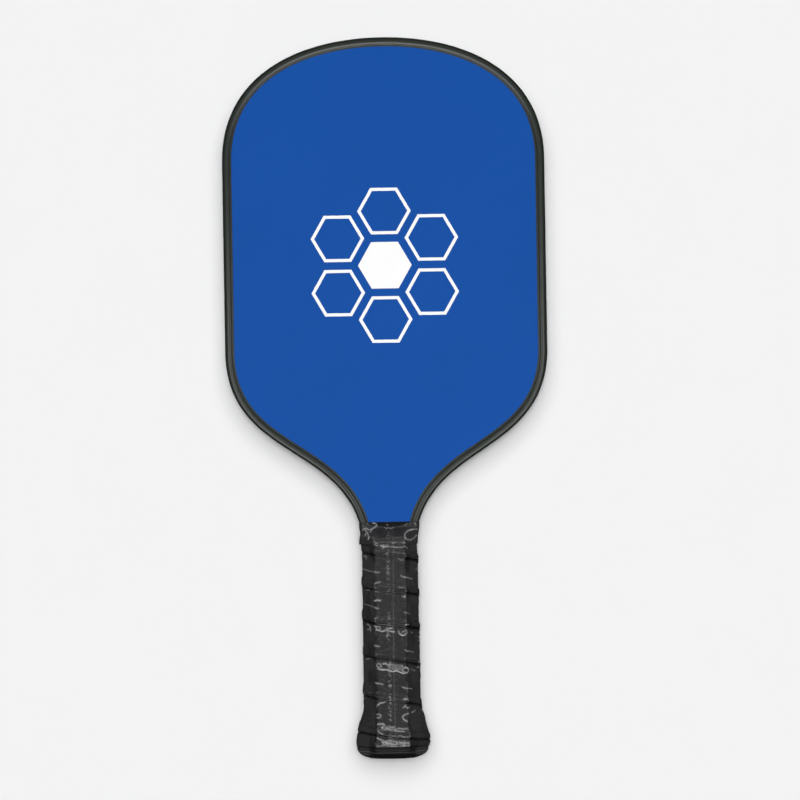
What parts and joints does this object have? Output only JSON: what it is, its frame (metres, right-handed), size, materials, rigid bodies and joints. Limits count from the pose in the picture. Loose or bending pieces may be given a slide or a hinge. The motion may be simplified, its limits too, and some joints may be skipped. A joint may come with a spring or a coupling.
{
  "type": "pickleball paddle",
  "caption": "Flat paddle with a rounded rectangular honeycomb head in a U-shaped edge guard, a tape-wrapped octagonal handle and a flared butt.",
  "frame": {"origin": "on the surface it lies on, under the middle of its length and width", "axes": "+X across the head, +Y along the handle towards the top of the head, +Z out of the front face; the paddle lies on its back, with its panel level"},
  "size_m": [0.1872, 0.419, 0.036],
  "materials": {
    "core_plastic": "translucent white polypropylene",
    "composite_sheet": "cured fibre sheet",
    "blue_film": "matte printed film",
    "white_ink": "raised satin ink",
    "edge_rubber": "satin moulded elastomer",
    "glue": "cured adhesive",
    "handle_wood": "machined light wood",
    "cap_plastic": "fine moulded texture",
    "staple_steel": "bare wire",
    "badge_plastic": "blank gloss disc",
    "grip_leather": "cushioned synthetic leather, slightly shiny",
    "collar_film": "stretched glossy tape"
  },
  "bodies": {
    "root": {"honeycomb_core": "core_plastic", "front_scrim": "glue", "back_scrim": "glue", "front_face_sheet": "composite_sheet", "back_face_sheet": "composite_sheet", "front_graphic_film": "blue_film", "back_graphic_film": "blue_film", "front_emblem_ink": "white_ink", "back_emblem_ink": "white_ink", "edge_guard": "edge_rubber", "edge_guard_glue": "glue", "front_handle_half": "handle_wood", "back_handle_half": "handle_wood", "front_handle_bond": "glue", "back_handle_bond": "glue", "butt_cap": "cap_plastic", "butt_cap_staples": "staple_steel", "butt_badge": "badge_plastic", "grip_backing": "glue", "grip_wrap": "grip_leather", "collar_tape": "collar_film"}
  },
  "joints": []
}
